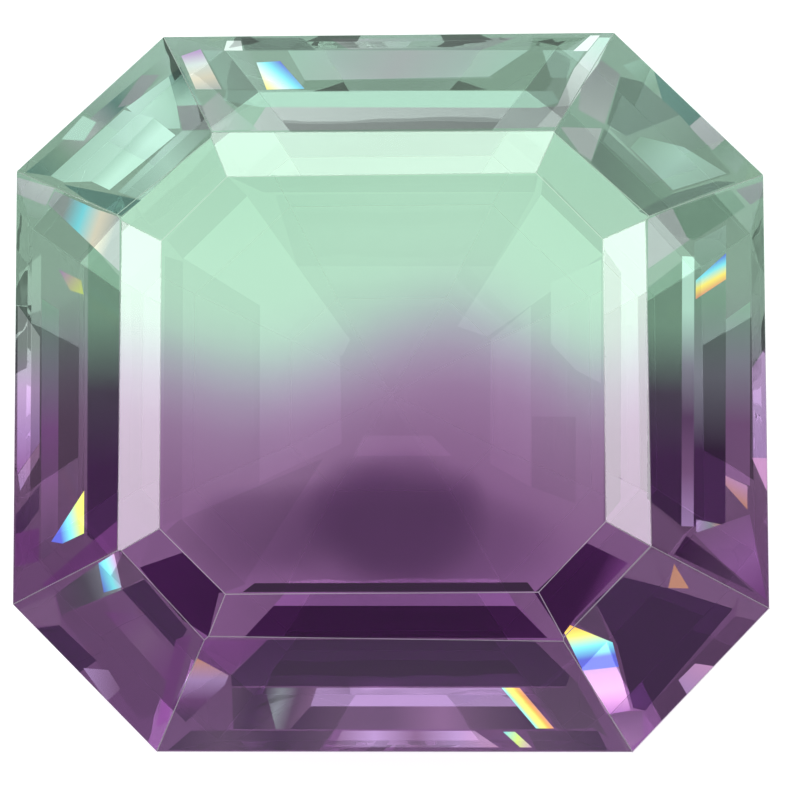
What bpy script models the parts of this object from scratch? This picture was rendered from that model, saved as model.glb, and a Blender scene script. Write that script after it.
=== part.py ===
"""A loose square step-cut fluorite gemstone with cut corners, modelled in metres with +Z up.

The stone is cut the way a lapidary cuts it: a block loses one flat slice after another. It is
designed with its table up and its axis on Z, then leans on one of its lower facets, as a
pointed stone does on a table top.
"""
import math

import bmesh
import bpy
from mathutils import Matrix, Vector

NAME = "fluorite_gem"
MM = 0.001

# Heights from the girdle's upper edge, in millimetres
STEP_HEIGHT = 1.84
TABLE_HEIGHT = 2.325
GIRDLE_THICKNESS = 0.34

# One row for each side, with the stone seen from above: its direction in degrees (outer crown
# facet, then step facet), and its distance from the axis in millimetres at the girdle, at the
# outer edge of the step and at the table. The stone is cut by hand, so no two rows are alike.
SIDES = (
    ("back", 90.4, 90.6, 7.58, 5.41, 4.47),
    ("back_right", 46.3, 45.1, 8.77, 6.39, 5.44),
    ("right", 0.8, 0.7, 7.95, 5.54, 4.63),
    ("front_right", -43.6, -43.6, 8.96, 6.35, 5.34),
    ("front", -90.1, -89.7, 7.60, 5.29, 4.35),
    ("front_left", -135.6, -134.8, 8.84, 6.42, 5.46),
    ("left", 179.6, 179.7, 7.96, 5.62, 4.73),
    ("back_left", 132.4, 134.2, 8.82, 6.45, 5.50),
)

# The five tiers under the girdle, from the top: how deep each one ends, in millimetres, and how
# much of the way from the girdle to the point is left there, on the sides and on the cut corners
TIERS = (
    (2.0, 0.90, 0.84),
    (3.7, 0.70, 0.66),
    (4.65, 0.53, 0.50),
    (6.0, 0.27, 0.26),
    (7.15, 0.0, 0.0),
)
POINT_OFFSET = Vector((-0.2, 0.2))

# The facet that the stone lies on
REST_SIDE = "front"
REST_TIER = 4

BLOCK_SIZE = 24.0
WELD = 0.002

COLOUR = (0.33, 0.27, 0.36, 1.0)
ROUGHNESS = 0.02
IOR = 1.434


def clear_scene():
    for obj in list(bpy.data.objects):
        bpy.data.objects.remove(obj, do_unlink=True)


def direction(azimuth):
    """The horizontal unit vector that points this many degrees from +X towards +Y."""
    angle = math.radians(azimuth)
    return Vector((math.cos(angle), math.sin(angle)))


def slice_off(bm, azimuth, low, high):
    """Cuts off what lies outside the plane through two level lines across the azimuth.

    low and high are (distance from the axis, height) in millimetres.
    """
    out = direction(azimuth)
    rise = high[1] - low[1]
    run = high[0] - low[0]
    normal = Vector((out.x * rise, out.y * rise, -run)).normalized()
    point = Vector((out.x * low[0], out.y * low[0], low[1]))
    cut_plane(bm, point, normal)


def cut_plane(bm, point, normal):
    """Removes the material on the normal's side of a plane and closes the cut with one facet."""
    geometry = bm.verts[:] + bm.edges[:] + bm.faces[:]
    cut = bmesh.ops.bisect_plane(
        bm, geom=geometry, dist=WELD * MM / 10, plane_co=point * MM, plane_no=normal, clear_outer=True
    )
    rim = [item for item in cut["geom_cut"] if isinstance(item, bmesh.types.BMEdge)]
    open_rim = [edge for edge in rim if edge.is_boundary]
    if open_rim:
        bmesh.ops.contextual_create(bm, geom=open_rim)


def tier_lines(azimuth, girdle, is_corner):
    """The level lines between the tiers on one side, as (distance from the axis, height)."""
    offset = direction(azimuth).dot(POINT_OFFSET)
    lines = [(girdle, -GIRDLE_THICKNESS)]
    for depth, side_share, corner_share in TIERS:
        share = corner_share if is_corner else side_share
        lines.append((offset + (girdle - offset) * share, -depth))
    return lines


def cut_stone():
    """The whole stone, table up, with the girdle's upper edge at height 0."""
    bm = bmesh.new()
    bmesh.ops.create_cube(bm, size=BLOCK_SIZE * MM)
    for index, (_, outer_azimuth, step_azimuth, girdle, step, table) in enumerate(SIDES):
        slice_off(bm, outer_azimuth, (girdle, -GIRDLE_THICKNESS), (girdle, 0.0))
        slice_off(bm, outer_azimuth, (girdle, 0.0), (step, STEP_HEIGHT))
        slice_off(bm, step_azimuth, (step, STEP_HEIGHT), (table, TABLE_HEIGHT))
        lines = tier_lines(outer_azimuth, girdle, is_corner=index % 2 == 1)
        for upper, lower in zip(lines, lines[1:]):
            slice_off(bm, outer_azimuth, lower, upper)
    cut_plane(bm, Vector((0.0, 0.0, TABLE_HEIGHT)), Vector((0.0, 0.0, 1.0)))
    bmesh.ops.remove_doubles(bm, verts=bm.verts[:], dist=WELD * MM)
    bmesh.ops.dissolve_degenerate(bm, edges=bm.edges[:], dist=WELD * MM)
    bmesh.ops.recalc_face_normals(bm, faces=bm.faces[:])
    return bm


def resting_turn():
    """The rotation that lays the resting facet flat on the ground, facing -Y."""
    name, azimuth, _, girdle, _, _ = next(side for side in SIDES if side[0] == REST_SIDE)
    lines = tier_lines(azimuth, girdle, is_corner="_" in name)
    upper, lower = lines[REST_TIER - 1], lines[REST_TIER]
    slope = math.atan2(upper[1] - lower[1], upper[0] - lower[0])
    turn_to_front = math.radians(-90.0 - azimuth)
    return Matrix.Rotation(slope, 4, "X") @ Matrix.Rotation(turn_to_front, 4, "Z")


def make_material():
    material = bpy.data.materials.new("fluorite")
    material.use_nodes = True
    shader = material.node_tree.nodes["Principled BSDF"]
    shader.inputs["Base Color"].default_value = COLOUR
    shader.inputs["Roughness"].default_value = ROUGHNESS
    shader.inputs["Metallic"].default_value = 0.0
    shader.inputs["IOR"].default_value = IOR
    shader.inputs["Transmission Weight"].default_value = 1.0
    return material


def build():
    clear_scene()
    collection = bpy.data.collections.new(NAME)
    bpy.context.scene.collection.children.link(collection)

    bm = cut_stone()
    mesh = bpy.data.meshes.new(NAME)
    bm.to_mesh(mesh)
    bm.free()
    mesh.materials.append(make_material())

    stone = bpy.data.objects.new(NAME, mesh)
    collection.objects.link(stone)
    turn = resting_turn()
    corners = [turn @ vertex.co for vertex in mesh.vertices]
    low = Vector(min(corner[axis] for corner in corners) for axis in range(3))
    high = Vector(max(corner[axis] for corner in corners) for axis in range(3))
    stone.rotation_euler = turn.to_euler()
    stone.location = (-(low.x + high.x) / 2, -(low.y + high.y) / 2, -low.z)


build()
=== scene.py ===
# %% [markdown]
# # A two-coloured fluorite gemstone
#
# The stone is a square step cut with cut corners: flat facets run round it in level steps, above and
# below a thin girdle. It is clear, green at the back and purple at the front, so almost everything
# that the eye sees in it is light that came through the stone. This lesson dresses one solid: its
# facets get worn edges with a faint painted highlight, its colour is laid out in the crystal's own
# directions, glimpses of its lower steps and rainbow flashes are painted on its crown as light and
# shade, and the studio is arranged so that each ring of facets finds something bright or dark to show.

# %% The frame
import math

import bmesh
import bpy
from mathutils import Matrix, Vector


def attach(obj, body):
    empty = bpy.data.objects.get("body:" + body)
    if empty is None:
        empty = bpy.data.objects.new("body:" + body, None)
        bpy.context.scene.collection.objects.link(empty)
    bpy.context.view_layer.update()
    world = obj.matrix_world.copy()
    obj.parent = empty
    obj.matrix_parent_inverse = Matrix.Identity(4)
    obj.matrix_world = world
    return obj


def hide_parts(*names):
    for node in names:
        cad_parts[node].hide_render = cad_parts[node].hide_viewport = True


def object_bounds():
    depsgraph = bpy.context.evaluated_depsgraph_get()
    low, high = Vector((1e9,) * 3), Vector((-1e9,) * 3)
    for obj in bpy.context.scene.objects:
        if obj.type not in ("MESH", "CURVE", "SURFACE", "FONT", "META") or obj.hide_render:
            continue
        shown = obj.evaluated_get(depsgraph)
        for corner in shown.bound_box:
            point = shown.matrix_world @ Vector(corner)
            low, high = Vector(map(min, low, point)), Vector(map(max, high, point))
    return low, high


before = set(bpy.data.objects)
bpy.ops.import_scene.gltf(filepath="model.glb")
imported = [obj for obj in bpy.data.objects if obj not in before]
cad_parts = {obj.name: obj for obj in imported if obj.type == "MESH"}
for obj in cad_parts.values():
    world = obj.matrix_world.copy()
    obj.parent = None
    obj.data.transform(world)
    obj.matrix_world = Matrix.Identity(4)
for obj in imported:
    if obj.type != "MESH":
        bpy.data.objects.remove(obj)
cad_low, cad_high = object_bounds()
NODE = "fluorite_gem"
MM = 0.001
cad_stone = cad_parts[NODE]
print("the cut solid is", [round(side / MM, 2) for side in cad_high - cad_low], "mm")

# %% [markdown]
# ## Where the stone's own up is
#
# A pointed stone can't stand on its point, so it lies on one of its lower facets and leans towards
# the viewer. The colour, the glimpses and the camera belong to the stone's own directions, not to
# the ground's, so these are read from the solid. It comes as triangles, so they are merged into
# whole facets first. The table is the largest facet, and it faces straight up the stone's axis.

# %% The stone's axes
TABLE_HEIGHT = 2.325 * MM
WELD = 0.001 * MM
SAME_PLANE = math.radians(0.2)

def merged_facets():
    """The solid's triangles as one mesh of whole, flat facets."""
    bm = bmesh.new()
    bm.from_mesh(cad_stone.data)
    bmesh.ops.remove_doubles(bm, verts=bm.verts[:], dist=WELD)
    bmesh.ops.dissolve_limit(
        bm, angle_limit=SAME_PLANE, verts=bm.verts[:], edges=bm.edges[:], use_dissolve_boundaries=False
    )
    return bm

def largest_facet():
    """The normal of the facet with the most area, and the height of its plane along that normal."""
    bm = merged_facets()
    bm.normal_update()
    face = max(bm.faces, key=lambda each: each.calc_area())
    normal, height = face.normal.copy(), face.normal.dot(face.calc_center_median())
    bm.free()
    return normal, height

table_normal, table_plane = largest_facet()
across = Vector((1.0, 0.0, 0.0))
away = table_normal.cross(across).normalized()
turn = Matrix((across, away, table_normal)).transposed()
corners = [turn.transposed() @ vertex.co for vertex in cad_stone.data.vertices]
middle_x = (min(p.x for p in corners) + max(p.x for p in corners)) / 2
middle_y = (min(p.y for p in corners) + max(p.y for p in corners)) / 2
gem_centre = turn @ Vector((middle_x, middle_y, table_plane - TABLE_HEIGHT))
print("the stone leans", round(math.degrees(math.acos(table_normal.z)), 1), "degrees;",
      "its girdle's middle is at", [round(value / MM, 2) for value in gem_centre])

# %% [markdown]
# ## The camera
#
# The photo looks almost straight at the table, with a long lens. The table sits a little up and to
# the left inside the girdle, so the camera stands about three degrees down and to the right of the
# table's axis. The frame is 798 by 800 pixels, and the stone's outline spans 757 of them across.

# %% Camera
TILT_RIGHT, TILT_DOWN = math.radians(3.0), math.radians(3.0)
FRAME_WIDTH_PX, FRAME_HEIGHT_PX = 798, 800
OUTLINE_CENTRE_PX = Vector((391.3, 392.0))
OUTLINE_WIDTH_PX = 757.0
CAMERA_DISTANCE = 0.5
SENSOR = 36.0
CLIP_NEAR, CLIP_FAR = 0.05, 5.0

back = Vector((math.sin(TILT_RIGHT), -math.sin(TILT_DOWN), 0.0))
back.z = math.sqrt(1.0 - back.length_squared)
camera_back = turn @ back
camera_right = (across - camera_back * across.dot(camera_back)).normalized()
camera_up = camera_back.cross(camera_right)

metres_per_px = (cad_high.x - cad_low.x) / OUTLINE_WIDTH_PX
view_height = metres_per_px * FRAME_HEIGHT_PX

camera_data = bpy.data.cameras.new("camera")
camera_data.sensor_width = SENSOR
camera_data.lens = SENSOR * CAMERA_DISTANCE / view_height
camera_data.clip_start, camera_data.clip_end = CLIP_NEAR, CLIP_FAR
camera_data.shift_x = (FRAME_WIDTH_PX / 2 - OUTLINE_CENTRE_PX.x) / FRAME_HEIGHT_PX
camera_data.shift_y = (OUTLINE_CENTRE_PX.y - FRAME_HEIGHT_PX / 2) / FRAME_HEIGHT_PX
camera = bpy.data.objects.new("camera", camera_data)
bpy.context.scene.collection.objects.link(camera)
camera.matrix_world = Matrix.Translation(gem_centre + camera_back * CAMERA_DISTANCE) @ Matrix(
    (camera_right, camera_up, camera_back)
).transposed().to_4x4()
bpy.context.scene.camera = camera
print("camera", round(math.degrees(math.asin(camera_back.z)), 1), "degrees above the ground, lens",
      round(camera_data.lens), "mm")

# %% [markdown]
# ## The stone with worn edges
#
# Fluorite is soft, so a cut stone's facet junctions are never razor sharp: each one is a hair-thin
# band that catches light as a fine line. So every junction is cut back a little on both sides by a
# bevel, whose narrow faces are marked for the material: they are rougher from wear, and a little
# paler as a painted highlight. The shading stays flat later on, which a clear stone needs, because a
# smoothed normal would bend the light wrongly.

# %% Worn edges
EDGE_OFFSET = 0.010 * MM
# The narrow edge faces: rough from wear, and a little paler as a painted highlight
WORN_AND_HIGHLIT = "worn"

def wear_and_highlight_edges(bm):
    """Bevels every junction of two facets, and marks the narrow new faces as worn and painted paler."""
    worn = bm.faces.layers.float.new(WORN_AND_HIGHLIT)
    bevelled = bmesh.ops.bevel(
        bm, geom=bm.edges[:], offset=EDGE_OFFSET, offset_type="OFFSET", affect="EDGES", segments=1,
        profile=0.5, material=-1, clamp_overlap=False
    )
    for face in bevelled["faces"]:
        face[worn] = 1.0
    bmesh.ops.recalc_face_normals(bm, faces=bm.faces[:])

bm = merged_facets()
print("the stone has", len(bm.faces), "facets")
wear_and_highlight_edges(bm)
print("with worn edges:", len(bm.faces), "faces")

# %% [markdown]
# ## Painted glimpses of the lower steps
#
# Through each facet of the crown the eye sees pieces of the lower steps, light or dark, with crisp
# outlines. Which piece is light hangs on every angle of the cut, and a real stone also splits light
# into rainbow flashes, which a renderer's clear shader doesn't. So the largest glimpses are painted
# on the crown instead, and laid out here one by one: painted reflections of the lower steps, painted
# shade and painted rainbow flashes. Each is an outline on the crown, seen from above in millimetres,
# and is cut into the flat facets without changing their shape. It gets either a tone of painted
# light or shade, which makes the crystal's own colour lighter or darker there, or painted colours in
# order along a heading, in degrees from +X to +Y. A flash or a bright piece also glows a little, as
# painted light.

# %% Names for the colours of the light
def seen(red, green, blue):
    """A colour as a picture on a screen names it, from 0 to 255, as the light that it stands for."""
    levels = [level / 255 for level in (red, green, blue)]
    return tuple(v / 12.92 if v < 0.04045 else ((v + 0.055) / 1.055) ** 2.4 for v in levels) + (1.0,)

# Colours for the painted glimpses: greens and purples seen with painted light and shade, a painted
# highlight white, and rainbow colours for painted flashes
MIST, SLATE, MOSS = seen(182, 198, 192), seen(150, 166, 161), seen(118, 150, 134)
MINT, PALE_MINT, HIGHLIGHT_WHITE = seen(170, 216, 194), seen(200, 248, 226), seen(228, 248, 240)
FERN, TEAL = seen(134, 174, 150), seen(100, 146, 132)
SAGE, CREAM, ORCHID = seen(160, 196, 178), seen(238, 234, 208), seen(152, 98, 164)
LILAC, PALE_LILAC, ROSE = seen(184, 146, 204), seen(206, 176, 220), seen(214, 158, 210)
PLUM, MAUVE, GRAPE = seen(98, 66, 106), seen(130, 90, 136), seen(116, 60, 126)
DUSK, NIGHT, INK = seen(68, 30, 82), seen(62, 20, 72), seen(44, 2, 52)
SHADE, HAZE, SMOKE = seen(72, 34, 84), seen(82, 72, 92), seen(146, 148, 162)
BLUE, CYAN, LIME = seen(96, 104, 214), seen(132, 236, 244), seen(222, 248, 130)
YELLOW, ORANGE, AMBER = seen(252, 240, 120), seen(250, 176, 84), seen(214, 150, 128)
print("mint is", [round(share, 2) for share in MINT[:3]], "of red, green and blue light")

# %% Back side of the outer ring
PAINTED_GLIMPSES = []

def glimpse(outline, tone=1.0, colours=(), heading=0.0, glow=0.0):
    """Adds one painted glimpse to the list."""
    PAINTED_GLIMPSES.append(([Vector(point) for point in outline], tone, colours, heading, glow))

glimpse([(-2.9, 5.42), (3.2, 5.48), (3.75, 5.95), (-2.6, 5.95)], colours=[MIST, SLATE], heading=0)
glimpse([(-3.5, 6.1), (-2.7, 5.95), (3.2, 5.93), (3.6, 6.05), (3.45, 6.3), (-3.45, 6.33)], colours=[MINT])
glimpse([(-1.9, 6.33), (3.3, 6.3), (2.9, 6.6), (-1.8, 6.55)], colours=[FERN])
glimpse([(-1.8, 6.55), (2.1, 6.63), (2.9, 7.22), (-2.2, 7.22)],
        colours=[MINT, MIST, MINT], heading=-30, glow=0.05)
glimpse([(2.1, 6.63), (2.9, 7.22), (3.4, 7.22), (3.45, 6.58), (3.3, 6.3)], colours=[FERN])
glimpse([(3.2, 7.22), (4.1, 7.22), (3.75, 6.6), (3.4, 6.6)], colours=[MINT])
glimpse([(-0.9, 7.24), (1.9, 7.22), (2.6, 7.5), (-1.3, 7.48)], colours=[MIST, SAGE, SLATE])
glimpse([(-3.1, 7.22), (-1.6, 7.22), (-1.9, 7.5), (-3.2, 7.5)], colours=[MOSS])
glimpse([(-3.55, 7.22), (-3.15, 7.2), (-3.2, 7.44), (-3.5, 7.44)], colours=[HIGHLIGHT_WHITE], glow=0.3)
glimpse([(2.9, 7.22), (3.7, 7.22), (4.1, 7.5), (3.0, 7.5)], colours=[FERN])
glimpse([(3.85, 7.2), (4.15, 7.2), (4.4, 7.55), (4.2, 7.55)], colours=[HIGHLIGHT_WHITE], glow=0.3)
glimpse([(-3.5, 6.35), (-2.7, 6.35), (-3.0, 7.22), (-4.0, 7.22)], colours=[MINT, SAGE], heading=20)
glimpse([(-4.45, 7.1), (-4.05, 7.25), (-3.55, 6.35), (-4.1, 6.35)],
        colours=[MIST, CREAM, HIGHLIGHT_WHITE, LILAC], heading=100, glow=0.2)
glimpse([(-3.95, 5.95), (-3.6, 6.3), (-3.45, 6.05), (-2.75, 5.45), (-3.7, 5.42)],
        colours=[MIST, SAGE], heading=20)
glimpse([(3.15, 5.5), (3.55, 5.5), (3.95, 6.2), (3.6, 6.05)], colours=[MIST])
glimpse([(3.55, 5.95), (3.85, 5.98), (4.36, 6.85), (4.63, 7.5), (4.38, 7.5), (3.88, 6.8)],
        colours=[MIST, HIGHLIGHT_WHITE, PALE_MINT], heading=60, glow=0.12)
glimpse([(-2.85, 6.95), (-2.35, 6.98), (-1.8, 6.36), (-2.6, 6.34)],
        colours=[YELLOW, HIGHLIGHT_WHITE, CYAN, BLUE], heading=50, glow=0.35)
print(len(PAINTED_GLIMPSES), "glimpses")

# %% Back right corner of the ring
glimpse([(4.9, 6.9), (7.3, 4.6), (7.5, 5.0), (5.4, 7.1)],
        colours=[MINT, FERN, MIST, FERN, SAGE], heading=-45)
glimpse([(5.5, 6.95), (6.6, 5.9), (6.3, 5.55), (5.75, 6.1)], colours=[TEAL])
glimpse([(6.3, 5.6), (6.6, 5.9), (7.1, 5.4), (6.8, 5.1)], colours=[MIST])
glimpse([(4.85, 6.65), (5.3, 6.55), (6.1, 5.85), (5.0, 5.35), (4.6, 5.6)], colours=[MOSS])
glimpse([(4.6, 5.55), (5.0, 5.35), (6.1, 5.85), (7.2, 4.6), (6.0, 4.15)], 0.64)
glimpse([(5.3, 5.35), (6.2, 5.15), (7.1, 4.6), (6.0, 4.2), (5.1, 5.1)],
        colours=[FERN, MINT, SAGE], heading=-45, glow=0.05)
glimpse([(4.55, 5.5), (6.0, 4.15), (5.8, 3.95), (5.3, 3.75), (4.3, 4.75)], colours=[MOSS, FERN])
glimpse([(4.45, 7.0), (4.85, 6.7), (4.55, 5.6), (4.0, 5.9), (4.05, 6.4)], colours=[MIST, SLATE], heading=80)
glimpse([(3.65, 5.5), (4.5, 5.5), (4.3, 4.78), (4.05, 4.95)], colours=[MIST], glow=0.05)
glimpse([(5.3, 3.72), (5.5, 3.62), (7.3, 4.42), (6.9, 4.42), (6.0, 4.12)], colours=[MOSS])
print(len(PAINTED_GLIMPSES), "glimpses")

# %% Right side of the ring
glimpse([(5.5, 3.55), (6.0, 3.8), (6.35, 3.15), (5.5, 2.5)], colours=[MIST])
glimpse([(6.0, 3.8), (7.2, 4.25), (7.5, 3.9), (6.45, 3.15), (6.3, 3.2)], colours=[FERN])
glimpse([(7.3, 4.25), (7.95, 4.5), (7.95, 4.2), (7.6, 3.95)], colours=[SLATE])
glimpse([(5.5, 2.1), (6.2, 2.7), (6.2, -2.9), (5.5, -2.35)],
        colours=[SHADE, SHADE, HAZE, FERN, FERN], heading=90)
glimpse([(6.2, 2.8), (6.45, 2.8), (6.45, -2.9), (6.2, -2.9)],
        colours=[LILAC, MAUVE, PLUM, SMOKE, PALE_MINT, PALE_MINT], heading=90, glow=0.10)
glimpse([(6.45, 3.1), (7.1, 3.5), (7.1, -2.9), (6.45, -2.9)],
        colours=[SHADE, SHADE, SMOKE, FERN, SAGE], heading=90, glow=0.06)
glimpse([(7.1, 1.5), (7.6, 1.9), (7.6, -2.0), (7.1, -1.8)],
        colours=[MAUVE, MAUVE, SMOKE, FERN], heading=90, glow=0.35)
glimpse([(7.64, 0.5), (7.95, 1.0), (7.95, -1.4), (7.64, -1.4)], colours=[LILAC, PALE_LILAC], heading=90)
glimpse([(7.64, -1.4), (7.95, -1.4), (7.95, -2.1)], colours=[ROSE], glow=0.2)
glimpse([(7.64, 1.0), (7.95, 1.4), (7.95, 4.0), (7.64, 3.8)], 0.72)
glimpse([(7.1, -1.8), (7.55, -2.0), (7.55, -2.5), (7.1, -2.0)], colours=[AMBER, ROSE], heading=60)
glimpse([(6.5, -2.75), (7.1, -2.85), (7.1, -3.4), (6.5, -3.0)],
        colours=[LILAC, SMOKE, AMBER], heading=0, glow=0.1)
glimpse([(5.5, -2.4), (6.3, -3.1), (6.05, -3.5), (5.5, -3.25)], colours=[MAUVE])
glimpse([(6.3, -3.1), (6.05, -3.5), (7.7, -4.25), (6.9, -3.55)], colours=[NIGHT, PLUM], heading=-30)
glimpse([(6.45, -3.05), (7.6, -2.6), (7.95, -4.4), (7.0, -3.6)],
        colours=[MAUVE, ORCHID, GRAPE], heading=-60, glow=0.05)
glimpse([(6.48, 2.3), (7.1, 2.9), (7.1, 2.35), (6.48, 1.9)],
        colours=[BLUE, CYAN, YELLOW, AMBER], heading=-58, glow=0.3)
print(len(PAINTED_GLIMPSES), "glimpses")

# %% Left side of the ring
glimpse([(-7.95, 3.6), (-7.3, 3.9), (-6.4, 3.15), (-6.4, 2.1), (-7.4, 1.9), (-7.95, 1.7)], 0.80)
glimpse([(-7.9, 2.5), (-7.4, 2.9), (-7.4, 1.7), (-7.8, 1.6)], 1.08)
glimpse([(-6.35, 3.15), (-5.66, 2.35), (-5.66, -2.85), (-6.1, -3.3), (-6.35, -3.1)],
        colours=[SHADE, SHADE, HAZE, FERN, FERN], heading=90)
glimpse([(-6.42, 2.0), (-6.36, 2.0), (-6.36, -2.6), (-6.42, -2.6)], 0.95)
glimpse([(-7.0, 1.7), (-6.42, 2.0), (-6.42, -3.1), (-7.0, -3.3)], 0.74)
glimpse([(-7.38, 1.95), (-7.0, 1.7), (-7.0, -3.3), (-7.38, -3.6)],
        colours=[PLUM, MAUVE, ORCHID, SMOKE, FERN], heading=90, glow=0.14)
glimpse([(-7.92, 1.85), (-7.42, 1.15), (-7.42, -1.1), (-7.92, -1.75)],
        colours=[ORCHID, LILAC, PALE_LILAC, MIST, MIST], heading=90, glow=0.20)
glimpse([(-7.9, -1.75), (-7.42, -1.1), (-7.42, -1.4), (-7.85, -2.1)], colours=[LILAC, ROSE], heading=50)
glimpse([(-7.95, -2.6), (-7.42, -2.0), (-7.42, -2.5), (-7.95, -3.2)], colours=[DUSK, PLUM], heading=50)
glimpse([(-7.95, -3.0), (-7.42, -2.9), (-7.42, -3.6), (-7.95, -3.7)], colours=[GRAPE])
glimpse([(-7.35, -4.1), (-6.4, -3.35), (-5.66, -2.8), (-5.66, -3.35), (-6.1, -3.6), (-7.25, -4.2)],
        colours=[GRAPE])
glimpse([(-7.1, 4.22), (-7.25, 3.95), (-6.4, 3.15), (-5.65, 2.45), (-5.65, 3.6), (-6.2, 3.8)],
        colours=[SLATE, SLATE, CYAN, CREAM, MIST, MIST], heading=-20, glow=0.15)
glimpse([(-7.95, 4.55), (-7.1, 4.28), (-7.3, 3.92), (-7.95, 4.2)], colours=[MIST])
glimpse([(-7.0, 2.55), (-6.5, 2.3), (-6.45, 2.0), (-6.75, 2.1)], colours=[LILAC, LIME], heading=-40)
glimpse([(-7.15, -3.2), (-6.42, -2.15), (-6.42, -3.05), (-6.9, -3.25)],
        colours=[BLUE, BLUE, CYAN, LIME, YELLOW], heading=10, glow=0.6)
print(len(PAINTED_GLIMPSES), "glimpses")

# %% Back left corner of the ring
glimpse([(-7.75, 4.65), (-7.2, 4.55), (-5.6, 6.05), (-4.7, 6.75), (-4.7, 7.2)],
        colours=[TEAL, FERN, MIST, TEAL, FERN, SAGE], heading=45)
glimpse([(-7.0, 5.35), (-6.5, 5.3), (-6.25, 5.7), (-6.55, 5.85)], colours=[PALE_MINT])
glimpse([(-5.8, 6.0), (-5.4, 6.1), (-4.9, 6.7), (-5.3, 6.7)], colours=[SLATE])
glimpse([(-4.7, 6.65), (-5.6, 6.0), (-5.0, 5.5), (-4.4, 5.5), (-4.5, 6.0)],
        colours=[MINT, PALE_MINT], heading=200, glow=0.08)
glimpse([(-7.2, 4.55), (-6.9, 4.4), (-6.3, 4.4), (-5.0, 5.75), (-5.65, 5.95)],
        colours=[MINT, PALE_MINT], heading=-30, glow=0.10)
glimpse([(-6.3, 4.4), (-5.9, 4.2), (-4.5, 5.35), (-5.0, 5.75)],
        colours=[PALE_MINT, PALE_MINT, MINT], heading=135, glow=0.22)
glimpse([(-5.7, 4.15), (-4.75, 5.1), (-4.35, 5.45), (-3.72, 5.42), (-5.2, 3.95)],
        colours=[MINT, PALE_MINT, SAGE], heading=45)
glimpse([(-6.9, 4.35), (-5.8, 4.1), (-5.2, 3.95), (-5.62, 3.62), (-6.4, 4.0)], colours=[TEAL])
glimpse([(-4.7, 6.65), (-4.45, 6.85), (-3.95, 6.0), (-4.5, 6.0)], colours=[MINT, TEAL], heading=90)
glimpse([(-4.5, 6.0), (-3.95, 6.0), (-3.75, 5.45), (-4.35, 5.45)], colours=[SLATE])
print(len(PAINTED_GLIMPSES), "glimpses")

# %% Front left corner of the ring
glimpse([(-7.05, -4.3), (-6.1, -3.7), (-5.6, -4.25), (-6.7, -4.65), (-6.95, -4.75)],
        colours=[PLUM, HAZE, SMOKE], heading=20)
glimpse([(-6.1, -3.7), (-5.75, -3.5), (-5.6, -4.2), (-6.0, -4.3)],
        colours=[BLUE, CYAN, ROSE], heading=20, glow=0.2)
glimpse([(-7.85, -4.6), (-7.1, -4.3), (-6.95, -4.95), (-7.6, -4.95)], colours=[MAUVE])
glimpse([(-6.95, -4.75), (-6.0, -4.45), (-4.6, -6.2), (-4.6, -6.7), (-5.3, -6.95)], 0.66)
glimpse([(-5.75, -3.5), (-5.2, -3.85), (-5.1, -4.05), (-5.6, -4.25)], colours=[MAUVE])
glimpse([(-5.6, -4.25), (-5.1, -4.05), (-4.2, -5.1), (-4.45, -5.5)], colours=[DUSK])
glimpse([(-6.0, -4.7), (-5.3, -4.75), (-4.5, -5.6), (-4.65, -6.2)],
        colours=[GRAPE, MAUVE, GRAPE], heading=-45)
glimpse([(-7.5, -5.0), (-7.0, -4.95), (-6.2, -5.7), (-6.6, -5.95)], colours=[DUSK])
glimpse([(-6.5, -5.85), (-5.95, -5.9), (-5.7, -6.3), (-6.0, -6.55)], colours=[MAUVE, LILAC], heading=180)
glimpse([(-4.45, -5.3), (-4.1, -5.2), (-4.7, -7.0), (-4.95, -7.1)], colours=[GRAPE])
print(len(PAINTED_GLIMPSES), "glimpses")

# %% Front right corner of the ring
glimpse([(5.0, -4.0), (5.9, -4.2), (7.25, -4.6), (5.4, -6.75), (5.15, -6.7), (4.85, -5.4), (4.4, -4.5)],
        colours=[DUSK])
glimpse([(5.0, -3.95), (5.45, -3.35), (5.6, -3.4), (5.85, -4.2)], colours=[MAUVE])
glimpse([(5.6, -3.4), (7.4, -4.28), (7.25, -4.6), (5.9, -4.2)], colours=[MAUVE])
glimpse([(5.92, -4.2), (6.05, -3.7), (6.35, -4.2)], colours=[AMBER])
glimpse([(7.4, -4.3), (7.95, -4.55), (7.8, -4.85), (7.3, -4.75)], colours=[MAUVE])
glimpse([(7.3, -4.75), (7.8, -4.85), (5.6, -7.1), (5.35, -6.8)], 0.60)
glimpse([(6.1, -6.1), (6.45, -5.75), (6.85, -5.8), (6.3, -6.45)],
        colours=[LILAC, ROSE], heading=60, glow=0.2)
glimpse([(4.6, -6.8), (5.35, -6.75), (5.35, -7.3), (5.0, -7.6), (4.85, -7.3)],
        colours=[PLUM, MAUVE], heading=-90)
glimpse([(3.95, -4.95), (4.4, -4.5), (4.75, -5.4)], colours=[PLUM])
glimpse([(3.75, -5.15), (3.85, -5.0), (4.75, -5.35), (4.87, -5.85), (4.13, -5.95)],
        colours=[ORANGE, YELLOW, CYAN, BLUE, BLUE], heading=-80, glow=0.5)
glimpse([(4.13, -5.95), (4.87, -5.85), (5.1, -6.75), (4.6, -6.85)],
        colours=[LILAC, ROSE, ORCHID], heading=-80, glow=0.06)
print(len(PAINTED_GLIMPSES), "glimpses")

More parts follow.
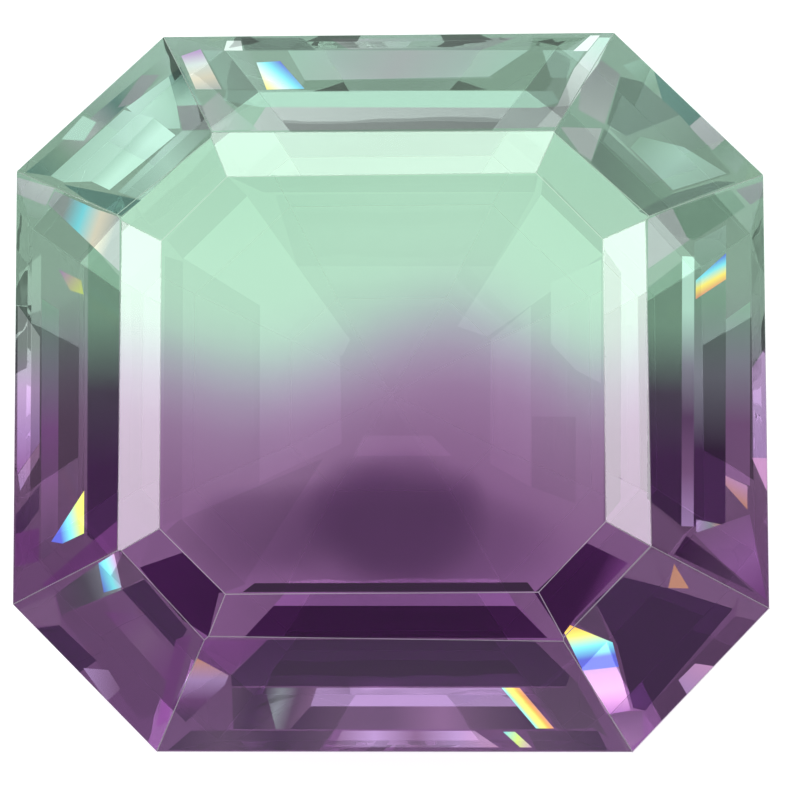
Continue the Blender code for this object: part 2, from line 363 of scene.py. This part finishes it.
# %% Front side of the ring
glimpse([(-3.9, -5.32), (-2.5, -5.32), (-3.35, -6.05), (-4.0, -5.7)], colours=[GRAPE])
glimpse([(-2.5, -5.32), (3.1, -5.32), (3.85, -6.05), (3.85, -6.27), (-3.3, -6.27), (-3.3, -6.05)],
        colours=[DUSK])
glimpse([(-4.0, -5.7), (-3.35, -6.05), (-3.45, -6.25), (-4.3, -7.0), (-4.6, -6.7)],
        colours=[AMBER, LILAC, GRAPE, DUSK], heading=-90)
glimpse([(-3.3, -6.3), (-2.6, -6.3), (-2.4, -7.15), (-3.3, -7.15)], colours=[PLUM, DUSK, PLUM], heading=-20)
glimpse([(-2.6, -6.3), (-1.5, -6.3), (-1.65, -6.7), (-2.1, -7.15), (-2.4, -7.15)],
        colours=[DUSK, SMOKE, PLUM, MAUVE], heading=-20)
glimpse([(-1.5, -6.3), (2.4, -6.3), (2.8, -6.68), (-1.65, -6.68)], colours=[LILAC])
glimpse([(-1.65, -6.68), (2.8, -6.68), (3.3, -7.15), (-2.1, -7.15)],
        colours=[DUSK, PLUM, PLUM, MAUVE, PLUM, DUSK], heading=0)
glimpse([(3.0, -6.3), (3.75, -6.3), (4.3, -7.12), (3.55, -7.15)], colours=[PLUM])
glimpse([(3.85, -6.05), (4.0, -6.2), (4.6, -7.3), (4.3, -7.12), (3.75, -6.3)], colours=[PLUM])
glimpse([(-4.2, -7.18), (-1.2, -7.18), (-1.5, -7.58), (-4.7, -7.58)],
        colours=[DUSK, PLUM, DUSK, PLUM], heading=0)
glimpse([(-1.0, -7.18), (1.8, -7.18), (2.3, -7.52), (-1.2, -7.52)],
        colours=[MAUVE, LILAC, MAUVE, LILAC, ROSE], heading=0)
glimpse([(2.9, -7.18), (4.4, -7.18), (4.6, -7.58), (3.1, -7.58)], colours=[PLUM, DUSK], heading=0)
glimpse([(2.4, -7.2), (2.65, -7.2), (3.0, -7.52), (2.75, -7.52)],
        colours=[CYAN, LIME, ROSE], heading=-20, glow=0.3)
glimpse([(2.4, -6.3), (2.78, -6.3), (3.48, -7.13), (3.1, -7.13)],
        colours=[CYAN, LIME, YELLOW, ORANGE, AMBER], heading=40, glow=0.5)
print(len(PAINTED_GLIMPSES), "glimpses")

# %% Front half of the upper step, and the painted dark line of shade along the table's front edge
glimpse([(-5.65, -3.35), (-4.75, -2.95), (-4.25, -3.5), (-5.2, -3.8)], colours=[MAUVE])
glimpse([(-5.2, -3.8), (-4.25, -3.5), (-3.4, -4.35), (-3.75, -5.25), (-4.3, -4.9)], colours=[NIGHT])
glimpse([(4.25, -3.3), (4.6, -2.85), (5.45, -3.3), (5.1, -3.7)], colours=[MAUVE])
glimpse([(3.15, -4.35), (4.25, -3.3), (5.1, -3.7), (4.0, -4.85), (3.7, -5.25)],
        colours=[NIGHT, NIGHT, NIGHT, GRAPE], heading=-30)
glimpse([(-3.5, -4.35), (-2.1, -4.35), (-3.0, -5.28), (-3.75, -5.28)], colours=[MAUVE])
glimpse([(2.6, -4.35), (3.15, -4.35), (3.75, -5.28), (3.4, -5.28)], colours=[MAUVE])
glimpse([(-2.1, -4.35), (2.6, -4.35), (2.75, -4.62), (-2.35, -4.62)], colours=[ORCHID])
glimpse([(-2.35, -4.62), (2.75, -4.62), (3.4, -5.28), (-3.0, -5.28)], colours=[NIGHT])
glimpse([(-3.0, -4.34), (-2.75, -4.15), (3.0, -4.13), (3.15, -4.32)], colours=[INK])
glimpse([(4.6, -2.85), (4.6, 2.9), (4.95, 2.4), (4.95, -2.4)], 0.71)
print(len(PAINTED_GLIMPSES), "glimpses")

# %% The faint star of lower facets that shows through the table, painted as light and shade
glimpse([(-3.35, 4.44), (3.20, 4.44), (3.13, 4.09), (-2.58, 4.09)], 0.92)
glimpse([(-2.33, 4.04), (3.13, 4.08), (2.28, 2.53), (-1.87, 2.53)], 0.96)
glimpse([(-3.35, 4.43), (-4.62, 3.09), (-4.27, 2.67), (-2.93, 4.01)], 0.95)
glimpse([(3.31, 4.43), (4.61, 3.09), (4.57, 2.77), (3.27, 4.04)], 0.88)
glimpse([(-2.93, 4.01), (-4.27, 2.70), (-0.92, 0.63), (-0.75, 0.98)], 1.09)
glimpse([(3.27, 4.04), (4.57, 2.77), (2.14, 1.05), (1.51, 1.26)], 1.08)
glimpse([(-2.65, 1.80), (-0.96, 0.64), (-0.92, -1.21), (-2.65, -2.02)], 1.10)
glimpse([(-4.66, 2.74), (-4.28, 2.63), (-4.28, -2.79), (-4.69, -2.93)], 0.93)
glimpse([(3.48, 2.18), (4.54, 2.67), (4.54, 0.06), (4.01, 0.34), (3.48, 0.90)], 1.11)
glimpse([(2.21, 0.98), (3.06, 1.68), (3.06, -2.12), (2.21, -1.63)], 1.08)
glimpse([(3.09, -0.64), (4.01, -0.64), (4.01, -2.47), (3.09, -2.12)], 0.91)
glimpse([(-0.46, -1.04), (0.98, -1.04), (1.40, -1.47), (-0.68, -1.47)], 1.12)
glimpse([(-1.31, -1.52), (-4.27, -2.79), (-2.96, -4.13)], 0.88)
glimpse([(-4.30, -2.79), (-2.93, -4.17), (-3.39, -4.34), (-4.62, -3.07)], 0.80)
print(len(PAINTED_GLIMPSES), "glimpses")

# %% [markdown]
# ## Cutting the glimpses in
#
# A glimpse divides only the facets that it touches, along upright planes through its sides. New
# edges lie in the flat facet, so light passes them as if they weren't there. The pieces inside the
# outline keep the painted tone, the painted glow and, at each corner, the painted colour.

# %% Cutting along a line
CUT_TOLERANCE = 0.0005 * MM

def on_stone(point):
    """A place in the frame, as millimetres along the stone's own axes."""
    return turn.transposed() @ (point - gem_centre) / MM

def cut_line(bm, faces, start, end):
    """Divides flat faces along a line seen from above, and gives back all their pieces."""
    along = end - start
    normal = turn @ Vector((along.y, -along.x, 0.0)).normalized()
    point = gem_centre + turn @ Vector((start.x, start.y, 0.0)) * MM
    geometry = list({item for face in faces for item in [face, *face.edges, *face.verts]})
    cut = bmesh.ops.bisect_plane(bm, geom=geometry, dist=CUT_TOLERANCE, plane_co=point, plane_no=normal)
    return [item for item in cut["geom"] if isinstance(item, bmesh.types.BMFace)]

print("the table lies", round(on_stone(table_normal * table_plane).z, 3), "mm above the girdle")

# %% Finding the pieces
def is_within(point, outline):
    """Whether a point lies inside an outline: a line from it then crosses an odd number of sides."""
    inside = False
    for first, second in zip(outline, outline[1:] + outline[:1]):
        if (first.y > point.y) != (second.y > point.y):
            crossing = first.x + (point.y - first.y) / (second.y - first.y) * (second.x - first.x)
            inside = inside != (point.x < crossing)
    return inside

def is_near(face, outline):
    """Whether a face's and an outline's extents overlap, seen from above."""
    spots = [on_stone(vertex.co) for vertex in face.verts]
    for axis in range(2):
        if max(p[axis] for p in spots) < min(p[axis] for p in outline):
            return False
        if min(p[axis] for p in spots) > max(p[axis] for p in outline):
            return False
    return True

widths = [max(p.x for p in row[0]) - min(p.x for p in row[0]) for row in PAINTED_GLIMPSES]
print("the glimpses are", round(min(widths), 2), "to", round(max(widths), 2), "mm across")

# %% Marking the pieces
PAINTED_GLIMPSE_COLOUR, PAINTED_TONE, GLOW = "glimpse", "tone", "glow"
NO_COLOUR = (0.0, 0.0, 0.0, 0.0)

def blend(colours, share):
    """The colour at a share of the way through a list of colours."""
    if len(colours) < 2:
        return colours[0] if colours else NO_COLOUR
    place = min(max(share, 0.0), 1.0) * (len(colours) - 1)
    index = min(int(place), len(colours) - 2)
    rest = place - index
    return tuple(a * (1 - rest) + b * rest for a, b in zip(colours[index], colours[index + 1]))

def paint_glimpse(bm, crown, outline, tone, colours, heading, glow):
    """Cuts one outline into the crown's faces and marks the pieces inside it with its painted tone, glow
    and colours.
    """
    ahead = Vector((math.cos(math.radians(heading)), math.sin(math.radians(heading))))
    reach = [point.dot(ahead) for point in outline]
    near, span = min(reach), max(reach) - min(reach)
    lines = list(zip(outline, outline[1:] + outline[:1]))
    for index in range(1, len(colours) - 1):
        step = ahead * (near + span * index / (len(colours) - 1))
        lines.append((step, step + Vector((-ahead.y, ahead.x))))
    touched = [face for face in crown if is_near(face, outline)]
    crown.difference_update(touched)
    for start, end in lines:
        touched = cut_line(bm, touched, start, end)
    crown.update(touched)
    for face in touched:
        if is_within(on_stone(face.calc_center_median()), outline):
            face[bm.faces.layers.float[PAINTED_TONE]] = tone
            face[bm.faces.layers.float[GLOW]] = glow
            for loop in face.loops:
                share = (on_stone(loop.vert.co).xy.dot(ahead) - near) / span
                loop[bm.loops.layers.float_color[PAINTED_GLIMPSE_COLOUR]] = blend(colours, share)

# %% Dressed stone
# How far a facet faces the table's way, from 0 to 1: the least for a crown facet, and the most for
# one of the outer ring, which looks darker than the rest, so its faces get a painted shade
CROWN_FACES_UP, RING_FACES_UP = 0.6, 0.84
RING_PAINTED_SHADE = 0.80

def paint_all_glimpses(bm):
    """Starts faces with no colour and a plain tone, a painted shade on the outer ring, then lays all
    glimpses.
    """
    bm.loops.layers.float_color.new(PAINTED_GLIMPSE_COLOUR)
    bm.faces.layers.float.new(PAINTED_TONE)
    bm.faces.layers.float.new(GLOW)
    crown = set()
    for face in bm.faces:
        up = face.normal.dot(table_normal)
        in_ring = CROWN_FACES_UP < up < RING_FACES_UP
        # The outer ring's faces get a painted shade
        face[bm.faces.layers.float[PAINTED_TONE]] = RING_PAINTED_SHADE if in_ring else 1.0
        for loop in face.loops:
            loop[bm.loops.layers.float_color[PAINTED_GLIMPSE_COLOUR]] = NO_COLOUR
        if up > CROWN_FACES_UP and face[bm.faces.layers.float[WORN_AND_HIGHLIT]] == 0.0:
            crown.add(face)
    for outline, tone, colours, heading, glow in PAINTED_GLIMPSES:
        paint_glimpse(bm, crown, outline, tone, colours, heading, glow)

paint_all_glimpses(bm)
mesh = bpy.data.meshes.new("dressed_stone")
bm.to_mesh(mesh)
bm.free()
mesh.shade_flat()
stone = bpy.data.objects.new("dressed_stone", mesh)
bpy.context.scene.collection.objects.link(stone)
print("dressed stone:", len(stone.data.polygons), "faces with", len(PAINTED_GLIMPSES), "glimpses")

# %% [markdown]
# ## Writing shaders as sums
#
# A node tree is easier to read as arithmetic. One small class wraps a socket, so that an expression
# such as `1 - mask` adds its own Math node, and one method adds every other kind of node.

# %% Shader helpers
class Value:
    """An output socket that takes part in Python expressions."""

    def __init__(self, recipe, socket):
        self.recipe = recipe
        self.socket = socket

    def beside(self, name):
        """Another output of the same node."""
        return Value(self.recipe, self.socket.node.outputs[name])

    def maths(self, operation, first, second):
        return self.recipe.node("ShaderNodeMath", {"operation": operation}, {0: first, 1: second})

    def __add__(self, other):
        return self.maths("ADD", self, other)

    def __sub__(self, other):
        return self.maths("SUBTRACT", self, other)

    def __rsub__(self, other):
        return self.maths("SUBTRACT", other, self)

    def __mul__(self, other):
        return self.maths("MULTIPLY", self, other)

    __radd__ = __add__
    __rmul__ = __mul__


class Recipe:
    """A node tree that is being written."""

    def __init__(self, tree):
        self.tree = tree
        self.tree.nodes.clear()

    def node(self, kind, settings=None, inputs=None, output=0):
        """Adds a node: its settings first, then the value or link of each socket named in inputs."""
        node = self.tree.nodes.new(kind)
        for name, value in (settings or {}).items():
            if name == "stops":
                self.set_stops(node.color_ramp, value)
            else:
                setattr(node, name, value)
        for name, value in (inputs or {}).items():
            if isinstance(value, Value):
                self.tree.links.new(value.socket, node.inputs[name])
            else:
                node.inputs[name].default_value = value
        return Value(self, node.outputs[output]) if node.outputs else None

    def set_stops(self, ramp, stops):
        """Gives a colour ramp its (position, colour) stops, smoothly joined."""
        ramp.interpolation = "B_SPLINE"
        while len(ramp.elements) < len(stops):
            ramp.elements.new(1.0)
        for element, (position, colour) in zip(ramp.elements, stops):
            element.position = position
            element.color = colour

    def ramp(self, value, low, high, stops):
        """A colour read along a ramp, whose stops are given in the value's own units."""
        placed = [((position - low) / (high - low), colour) for position, colour in stops]
        along = self.node("ShaderNodeMapRange", None, {"Value": value, "From Min": low, "From Max": high})
        return self.node("ShaderNodeValToRGB", {"stops": placed}, {"Fac": along})

    def attribute(self, name, output="Fac"):
        """A value that the mesh carries on its faces or corners."""
        return self.node("ShaderNodeAttribute", {"attribute_name": name}, output=output)

    def mix(self, amount, first, second):
        """A colour between two colours."""
        return self.node("ShaderNodeMix", {"data_type": "RGBA"}, {0: amount, 6: first, 7: second}, output=2)

    def smooth(self, value, low, high, from_value=0.0, to_value=1.0):
        """A smooth step from one value to another as the input goes from low to high."""
        return self.node("ShaderNodeMapRange", {"interpolation_type": "SMOOTHERSTEP"}, {
            "Value": value, "From Min": low, "From Max": high, "To Min": from_value, "To Max": to_value})

# %% [markdown]
# ## The crystal's colour
#
# Fluorite grows in layers, and this stone was cut across a change from green to purple. The border
# isn't straight: it dips in the left half, bulges far back just right of the middle, and dips again
# at the right. A clear shader colours light at each surface that it passes, with the square root of
# Base Color. Here the way in takes nearly all the colour, so the colour that is wanted is squared
# for the outside of the surface, and its inside stays almost white. Then light that crosses from
# the green half to the purple half doesn't turn grey.

# %% Layers, border and clouds
# Millimetres behind the border, and the colour there
LAYERS = (
    (-8.0, seen(130, 80, 142)),
    (-4.2, seen(132, 86, 138)),
    (-2.6, seen(134, 96, 138)),
    (-1.2, seen(146, 113, 151)),
    (-0.4, seen(156, 140, 166)),
    (0.3, seen(164, 172, 178)),
    (1.0, seen(171, 203, 186)),
    (1.8, seen(173, 211, 188)),
    (3.2, seen(170, 211, 186)),
    (4.4, seen(164, 207, 181)),
    (5.4, seen(168, 212, 188)),
    (8.0, seen(172, 214, 191)),
)
# Millimetres across the stone, and how far behind its middle the border lies there
BORDER = (
    (-8.0, 0.68), (-5.6, 0.68), (-4.4, 0.30), (-2.6, -0.20), (-0.9, 0.45), (1.2, 1.45),
    (2.6, 0.90), (3.6, 0.35), (4.5, -0.20), (5.6, 0.60), (8.0, 0.68),
)
BORDER_LOW, BORDER_SPAN = -1.0, 3.0
HALF_WIDTH = 8.0

# Clouds of a deeper purple: middle, half the width and depth in millimetres, and how strong
CLOUD = seen(80, 34, 90)
CLOUDS = (
    (0.1, -2.75, 2.2, 1.7, 0.85),
    (-2.3, -3.1, 2.3, 1.3, 0.50),
    (0.6, -3.3, 3.8, 1.5, 0.36),
)
# Growth is never even, so slow noise moves the border and the clouds to and fro. The last two
# numbers are the millimetres between its farthest places.
DRIFT_SCALE, DRIFT_DETAIL = 0.45, 1.5
DRIFT_SEEDS = (5.0, 9.0)
BORDER_DRIFT, CLOUD_DRIFT = 0.5, 1.3

def grey(value):
    return (value, value, value, 1.0)

def drift(r, gem, seed):
    """Slow noise round zero."""
    noise = r.node("ShaderNodeTexNoise", {"noise_dimensions": "4D"}, {
        "Vector": gem, "W": seed, "Scale": DRIFT_SCALE, "Detail": DRIFT_DETAIL, "Roughness": 0.5})
    return noise - 0.5

def layered_colour(r, gem):
    """Green behind the border, purple in front of it, and the clouds."""
    x = r.node("ShaderNodeSeparateXYZ", None, {"Vector": gem}, output="X")
    y = x.beside("Y")
    drift_x, drift_y = (drift(r, gem, seed) for seed in DRIFT_SEEDS)
    stops = [(across_mm, grey((behind - BORDER_LOW) / BORDER_SPAN)) for across_mm, behind in BORDER]
    border = r.ramp(x, -HALF_WIDTH, HALF_WIDTH, stops) * BORDER_SPAN + BORDER_LOW
    colour = r.ramp(y - border + drift_x * BORDER_DRIFT, -HALF_WIDTH, HALF_WIDTH, LAYERS)
    for centre_x, centre_y, half_x, half_y, strength in CLOUDS:
        over_x = (x - centre_x + drift_x * CLOUD_DRIFT) * (1 / half_x)
        over_y = (y - centre_y + drift_y * CLOUD_DRIFT) * (1 / half_y)
        cover = r.smooth(over_x * over_x + over_y * over_y, 1.0, 0.0, 0.0, strength)
        colour = r.mix(cover, colour, CLOUD)
    return colour

print(len(LAYERS), "layers,", len(BORDER), "points on the border and", len(CLOUDS), "clouds")

# %% [markdown]
# ## The polish
#
# Soft fluorite never takes a perfect polish. Its facets keep faint waves, which a bump node makes
# from slow noise, and a few hazy scratches, which are noise stretched along one direction and used
# as roughness. The scratches are on the outside only, and so is the painted glow of the flashes and
# bright glimpses.

# %% Fluorite
IOR = 1.434
WHITE = (1.0, 1.0, 1.0, 1.0)
WAY_OUT = 0.12
# The edges' roughness is wear; their paleness is a painted highlight
PAINTED_EDGE_HIGHLIGHT, WORN_ROUGHNESS = 0.1, 0.4
WAVE_SCALE, WAVE_DEPTH = 0.6, 0.004 * MM
SCRATCH_TURN, SCRATCH_STRETCH = (0.2, 0.3, 0.7), (0.5, 9.0, 9.0)
SCRATCH_EDGE = (0.70, 0.76)
SCRATCH_ROUGHNESS = 0.10

def wavy_polish(r, gem):
    waves = r.node("ShaderNodeTexNoise", None, {"Vector": gem, "Scale": WAVE_SCALE, "Detail": 1.0})
    return r.node("ShaderNodeBump", None, {"Strength": 1.0, "Distance": WAVE_DEPTH, "Height": waves})

def scratch_haze(r, gem):
    along = r.node("ShaderNodeMapping", None, {
        "Vector": gem, "Rotation": SCRATCH_TURN, "Scale": SCRATCH_STRETCH})
    scratches = r.node("ShaderNodeTexNoise", None, {"Vector": along, "Scale": 1.0, "Detail": 2.0})
    return r.smooth(scratches, *SCRATCH_EDGE, 0.0, SCRATCH_ROUGHNESS)

def fluorite():
    material = bpy.data.materials.new("fluorite")
    material.use_nodes = True
    r = Recipe(material.node_tree)
    place = r.node("ShaderNodeTexCoord", output="Object")
    gem = r.node("ShaderNodeMapping", {"vector_type": "TEXTURE"}, {
        "Vector": place, "Location": gem_centre, "Rotation": turn.to_euler(), "Scale": (MM, MM, MM)})
    # The crystal's colour, made lighter or darker by the painted tone of light and shade
    colour_with_painted_tone = r.node("ShaderNodeVectorMath", {"operation": "SCALE"}, {
        0: layered_colour(r, gem), "Scale": r.attribute(PAINTED_TONE)})
    # Where a glimpse has colours they take over: painted reflections and painted flashes
    painted_glimpse = r.attribute(PAINTED_GLIMPSE_COLOUR, output="Color")
    wanted = r.mix(painted_glimpse.beside("Alpha"), colour_with_painted_tone, painted_glimpse)
    squared = r.node("ShaderNodeVectorMath", {"operation": "MULTIPLY"}, {0: wanted, 1: wanted})
    inside = r.node("ShaderNodeNewGeometry", output="Backfacing")
    colour = r.mix(inside * (1 - WAY_OUT), squared, WHITE)
    # Worn edges: rougher from wear, and a little paler as a painted highlight
    worn = r.attribute(WORN_AND_HIGHLIT)
    colour = r.mix(worn * PAINTED_EDGE_HIGHLIGHT, colour, WHITE)
    # Painted light: flashes and bright glimpses glow a little on the outside
    shine = r.mix(r.attribute(GLOW) * (1 - inside), grey(0.0), painted_glimpse)
    haze = scratch_haze(r, gem) * (1 - inside)
    shader = r.node("ShaderNodeBsdfPrincipled", None, {
        "Base Color": colour, "Roughness": worn * WORN_ROUGHNESS + haze, "IOR": IOR,
        "Transmission Weight": 1.0, "Normal": wavy_polish(r, gem),
        "Emission Color": shine, "Emission Strength": 1.0})
    r.node("ShaderNodeOutputMaterial", None, {"Surface": shader})
    print("the fluorite has", len(material.node_tree.nodes), "nodes")
    return material

stone.data.materials.append(fluorite())
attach(stone, "root")
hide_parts(NODE)

# %% [markdown]
# ## The table top
#
# The photo's ground is plain white. Light that enters the table goes out through the lower facets
# and lands on this ground, so it has to be bright right up to the stone: the top shines by itself
# near the stone, like a light table. A small soft shade lies under the facet that it rests on.

# %% Ground
GROUND_SIZE = 3.0
GROUND_DROP = 0.02 * MM
GROUND_GREY, GROUND_ROUGHNESS = 0.5, 0.8
NEAR_GLOW, FAR_GLOW = 0.85, 0.12
GLOW_CENTRE = (0.0, 4.5 * MM, 0.0)
GLOW_EDGE = (12 * MM, 30 * MM)
FOOT = (0.0, 0.3 * MM, 0.0)
FOOT_SQUEEZE = (0.55, 1.0, 1.0)
FOOT_REACH = (0.6 * MM, 2.4 * MM)
FOOT_SHADE = 0.80

def distance(r, place, point):
    """How far a place is from a point, in metres."""
    return r.node("ShaderNodeVectorMath", {"operation": "DISTANCE"}, {0: place, 1: point}, output="Value")

def white_top():
    material = bpy.data.materials.new("white_top")
    material.use_nodes = True
    r = Recipe(material.node_tree)
    place = r.node("ShaderNodeTexCoord", output="Object")
    far = r.smooth(distance(r, place, GLOW_CENTRE), *GLOW_EDGE)
    glow = r.mix(far, grey(NEAR_GLOW), grey(FAR_GLOW))
    squeezed = r.node("ShaderNodeVectorMath", {"operation": "MULTIPLY"}, {0: place, 1: FOOT_SQUEEZE})
    shade = r.smooth(distance(r, squeezed, FOOT), *FOOT_REACH, 1.0 - FOOT_SHADE, 0.0)
    glow = r.mix(shade, glow, grey(0.0))
    shader = r.node("ShaderNodeBsdfPrincipled", None, {
        "Base Color": grey(GROUND_GREY), "Roughness": GROUND_ROUGHNESS, "Specular IOR Level": 0.0,
        "Emission Color": glow, "Emission Strength": 1.0})
    r.node("ShaderNodeOutputMaterial", None, {"Surface": shader})
    return material

def ground():
    bm = bmesh.new()
    bmesh.ops.create_grid(bm, x_segments=1, y_segments=1, size=GROUND_SIZE / 2)
    bmesh.ops.translate(bm, verts=bm.verts[:], vec=(0.0, 0.0, -GROUND_DROP))
    mesh = bpy.data.meshes.new("ground")
    bm.to_mesh(mesh)
    bm.free()
    mesh.materials.append(white_top())
    plane = bpy.data.objects.new("ground", mesh)
    bpy.context.scene.collection.objects.link(plane)
    print("the ground is", GROUND_SIZE, "m wide")
    return plane

ground()

# %% [markdown]
# ## The studio
#
# Each ring of facets sends the eye to a few places in the room, and shows them as light or dark
# bands. So the room is a plain grey, with soft cards round the stone: white ones that add light and
# black ones that take it away. Three white ones stand where the narrow upper step mirrors them.

# %% Room and lights
ROOM_LIGHT = 0.80
DARKEST = 0.03

# Name, elevation, azimuth, reach in degrees and light added. Azimuth 0 is the viewer's side, 90 is
# +X and 180 is behind the stone.
CARDS = (
    ("left step mirror", 26.1, -75.9, 1.8, 11.0),
    ("right step mirror", 32.1, 71.5, 1.7, 12.0),
    ("back step mirror", 64.9, -171.6, 2.2, 8.0),
    ("white card behind", 42, 177, 22, 0.45),
    ("white card overhead", 83, -15, 11, 0.4),
    ("white strip behind the top", 82, -177, 8, 1.2),
    ("grey side with the camera", 57, 5, 34, -0.10),
    ("black flag under the camera", 35, -3, 14, -0.20),
    ("black flag at the foot", 5, -3, 9, -0.60),
    ("black flag low at the left", 12, -39, 7, -0.60),
    ("black flag low at the right", 17, 34, 7, -0.60),
    ("black flag level at the left", 10, -88, 8, -0.55),
    ("black flag level at the right", 17, 84, 8, -0.50),
    ("black flag left and behind", 30, -122, 12, -0.20),
)
# A card's light is full up to this share of its reach, and fades out from there
FULL_SHARE = 0.5

def toward(elevation, azimuth):
    """The unit vector from the stone in a direction: azimuth 0 is the viewer's side, 90 is +X."""
    lift, swing = math.radians(elevation), math.radians(azimuth)
    return Vector((math.sin(swing) * math.cos(lift), -math.cos(swing) * math.cos(lift), math.sin(lift)))

def room():
    world = bpy.data.worlds.new("room")
    bpy.context.scene.world = world
    world.use_nodes = True
    r = Recipe(world.node_tree)
    way = r.node("ShaderNodeTexCoord", output="Generated")
    light = ROOM_LIGHT
    for _, elevation, azimuth, reach, added in CARDS:
        nearness = r.node("ShaderNodeVectorMath", {"operation": "DOT_PRODUCT"}, {
            0: way, 1: toward(elevation, azimuth)}, output="Value")
        edge, full = math.cos(math.radians(reach)), math.cos(math.radians(reach * FULL_SHARE))
        light = light + r.smooth(nearness, edge, full, 0.0, added)
    light = light.maths("MAXIMUM", light, DARKEST)
    background = r.node("ShaderNodeBackground", None, {"Color": light, "Strength": 1.0})
    r.node("ShaderNodeOutputWorld", None, {"Surface": background})
    print("the room has", len(CARDS), "cards")

room()

# %% [markdown]
# ## How long the light is followed
#
# Light bounces many times between the facets of a cut stone before it leaves, and a path that is
# dropped too soon comes out black. So many bounces are allowed, and reflections stay sharp. The
# Standard view keeps the bright ground white.

# %% Light paths
BOUNCES = 24
scene = bpy.context.scene
scene.view_settings.view_transform = "Standard"
scene.cycles.use_denoising = True
scene.cycles.max_bounces = BOUNCES
scene.cycles.transmission_bounces = BOUNCES
scene.cycles.glossy_bounces = BOUNCES
scene.cycles.blur_glossy = 0.0
print("light is followed for", BOUNCES, "bounces")
